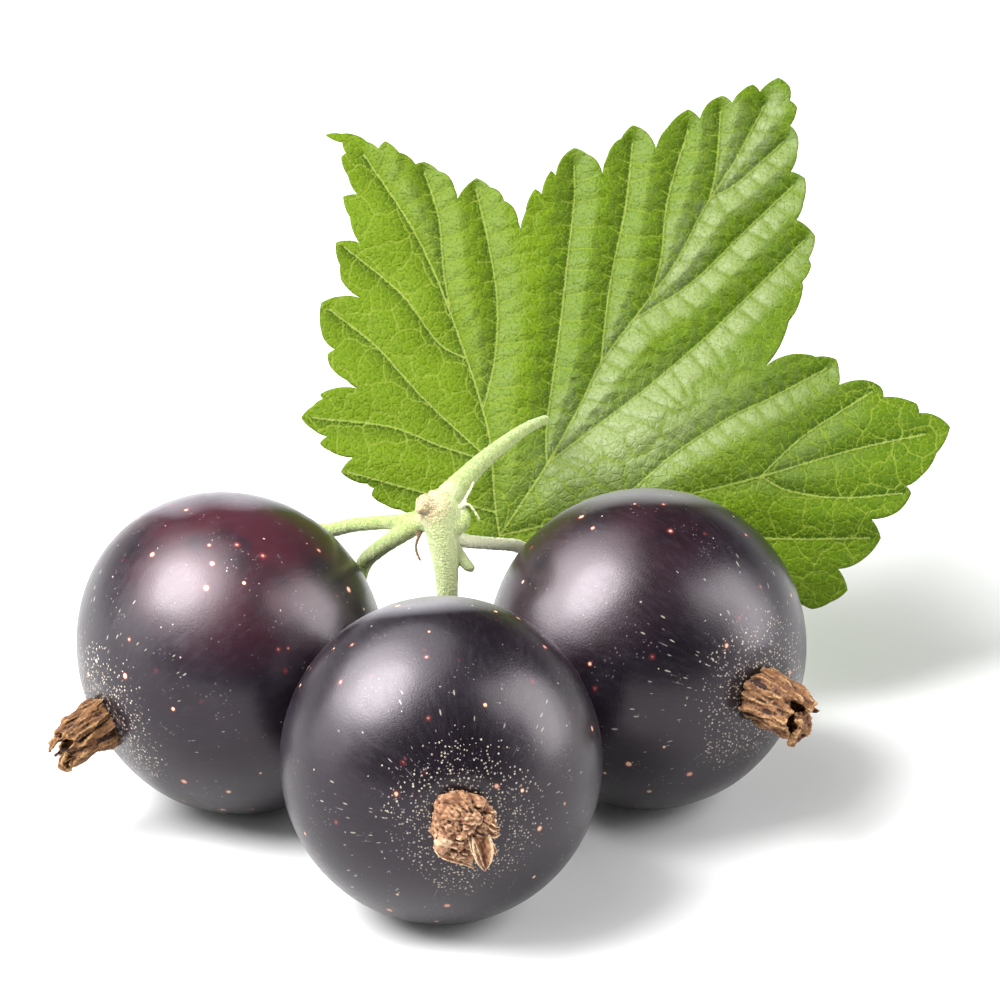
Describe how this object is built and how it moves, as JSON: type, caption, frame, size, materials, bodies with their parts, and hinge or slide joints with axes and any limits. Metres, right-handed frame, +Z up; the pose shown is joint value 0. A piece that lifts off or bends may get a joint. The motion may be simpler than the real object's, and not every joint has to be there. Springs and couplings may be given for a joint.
{
  "type": "blackcurrant sprig",
  "caption": "Picked blackcurrant sprig lying on its ripe berries, with dried calyxes, green stalks and a toothed lobed leaf held up behind them.",
  "frame": {"origin": "on the surface that the sprig lies on, at the middle of the front berry's contact spot", "axes": "+Z up from the surface; -Y the way the front berry's dried calyx points, so the leaf stands on the +Y side; +X to the right seen from the calyx side"},
  "size_m": [0.0379, 0.0404, 0.023],
  "materials": {
    "berry_skin": "waxy satin fruit skin, almost black with a violet cast",
    "dried_calyx": "dry, papery and brown",
    "green_stem": "soft pale green stalk with fine down",
    "leaf_green": "satin leaf with a raised net of pale veins"
  },
  "bodies": {
    "root": {"berry_front": "berry_skin", "berry_left": "berry_skin", "berry_right": "berry_skin", "calyx_front": "dried_calyx", "calyx_left": "dried_calyx", "calyx_right": "dried_calyx", "stem": "green_stem", "leaf": "leaf_green"}
  },
  "joints": []
}
